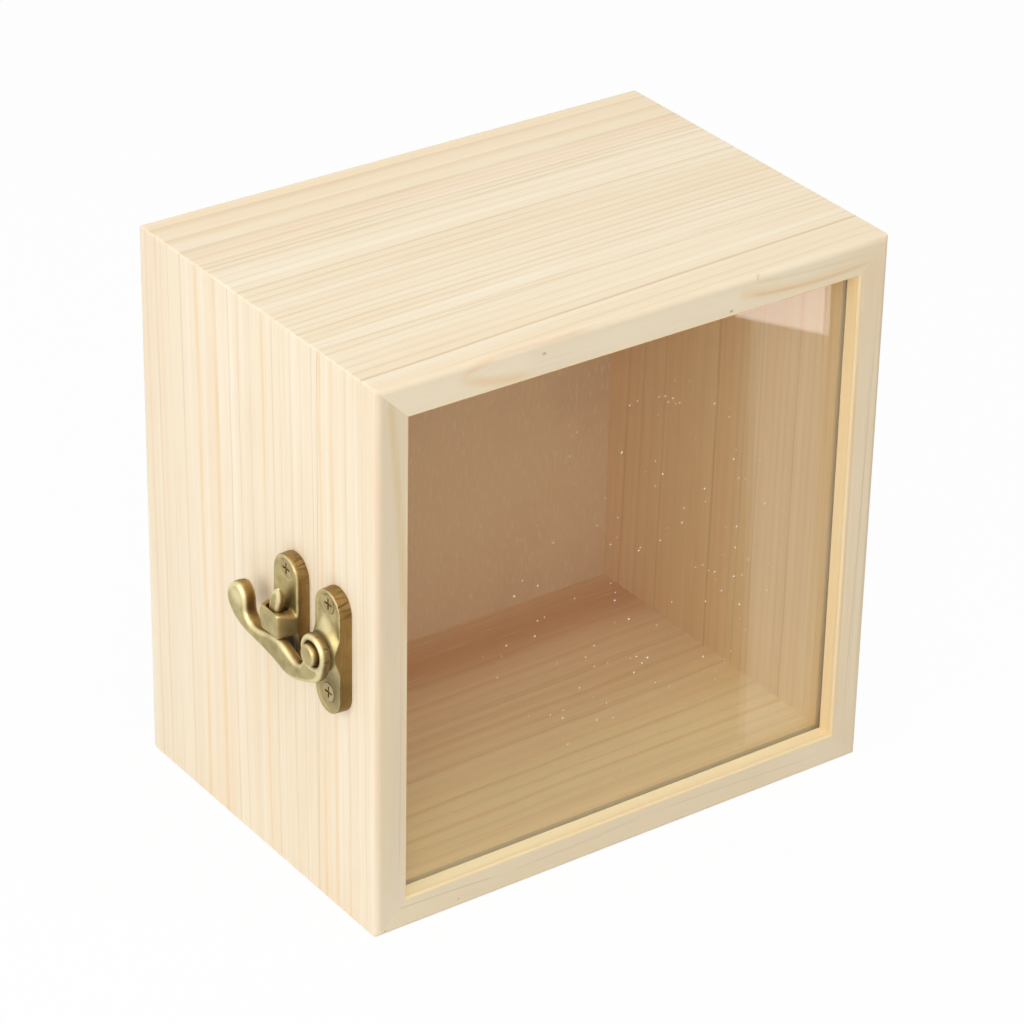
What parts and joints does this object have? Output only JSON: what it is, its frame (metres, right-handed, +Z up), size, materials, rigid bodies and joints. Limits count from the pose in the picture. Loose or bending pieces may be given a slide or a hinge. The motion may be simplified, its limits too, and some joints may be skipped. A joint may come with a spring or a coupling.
{
  "type": "hinged wooden display box",
  "caption": "Small pine box with a framed clear lid that swings sideways on butt hinges and closes with a cast swinging hook latch.",
  "frame": {"origin": "middle of the underside of the closed box, latch and hinges left out", "axes": "+Z up, -Y out of the clear pane of the lid, -X towards the latch side, +X towards the hinge side"},
  "size_m": [0.1094, 0.07, 0.1],
  "materials": {
    "pine_case": "bare planed pine",
    "pine_lid": "bare planed pine",
    "back_board": "bare thin board",
    "clear_pane": "clear, polished",
    "latch_brass": "antique, satin, rubbed bright on the edges",
    "screw_brass": "antique, darker in the cross recess",
    "hinge_brass": "antique, satin"
  },
  "bodies": {
    "case": {"case_left_board": "pine_case", "case_right_board": "pine_case", "case_top_board": "pine_case", "case_bottom_board": "pine_case", "back_panel": "back_board", "catch_plate": "latch_brass", "catch_plate_screws": "screw_brass", "lower_hinge_case_leaf": "hinge_brass", "lower_hinge_case_screws": "screw_brass", "lower_hinge_pin": "hinge_brass", "upper_hinge_case_leaf": "hinge_brass", "upper_hinge_case_screws": "screw_brass", "upper_hinge_pin": "hinge_brass"},
    "lid": {"lid_left_board": "pine_lid", "lid_right_board": "pine_lid", "lid_top_board": "pine_lid", "lid_bottom_board": "pine_lid", "pane": "clear_pane", "pivot_plate": "latch_brass", "pivot_plate_screws": "screw_brass", "latch_rivet": "latch_brass", "lower_hinge_lid_leaf": "hinge_brass", "lower_hinge_lid_screws": "screw_brass", "upper_hinge_lid_leaf": "hinge_brass", "upper_hinge_lid_screws": "screw_brass"},
    "hook": {"latch_hook": "latch_brass"}
  },
  "joints": [
    {"name": "lid_hinge", "type": "hinge", "parent": "case", "child": "lid", "pos_m": [0.0517, -0.0184, 0.05], "axis": [0, 0, 1], "range_deg": [0, 180]},
    {"name": "hook_pivot", "type": "hinge", "parent": "lid", "child": "hook", "pos_m": [-0.05, -0.0246, 0.0506], "axis": [-1, 0, 0], "range_deg": [0, 285]}
  ]
}
